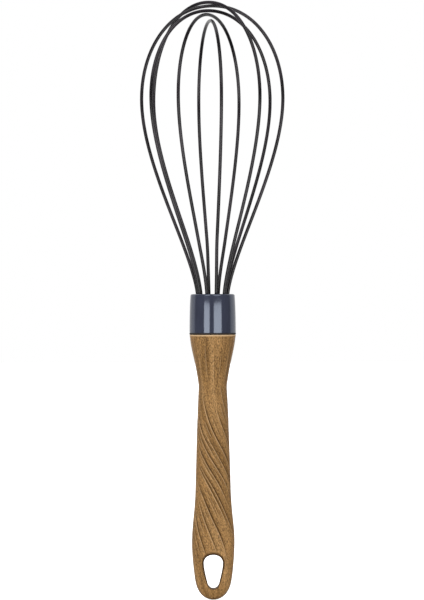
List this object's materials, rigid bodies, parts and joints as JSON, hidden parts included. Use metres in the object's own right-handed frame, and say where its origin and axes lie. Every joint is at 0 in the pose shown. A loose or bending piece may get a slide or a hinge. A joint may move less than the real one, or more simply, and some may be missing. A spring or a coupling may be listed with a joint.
{
  "type": "balloon whisk",
  "caption": "Hand-held balloon whisk with sprung wire loops in a tapered collar, and a waisted wood-effect handle that ends in a flat hanging eye.",
  "frame": {"origin": "centre of the whole object's box at the lowest point of the handle's butt, on the whisk's long axis", "axes": "+Z from the butt of the handle to the crown of the wires, +X across the handle's wide face, +Y through the hanging eye"},
  "size_m": [0.0725, 0.0722, 0.3],
  "materials": {
    "handle": "matte moulded wood effect, tan brown with darker spiral grain lines",
    "collar": "glossy slate grey",
    "wire": "satin dark grey coating on spring steel wire",
    "inner_plastic": "matte black",
    "seal": "matte near-black",
    "steel": "plain bright steel"
  },
  "bodies": {
    "root": {"handle": "handle", "collar": "collar", "guide_disc": "inner_plastic", "wire_holder": "inner_plastic", "seal_ring": "seal", "lock_washer": "steel", "anchor_screw": "steel", "crimp_band": "steel", "wire_loop_1": "wire", "wire_loop_2": "wire", "wire_loop_3": "wire", "wire_loop_4": "wire", "wire_loop_5": "wire"}
  },
  "joints": []
}
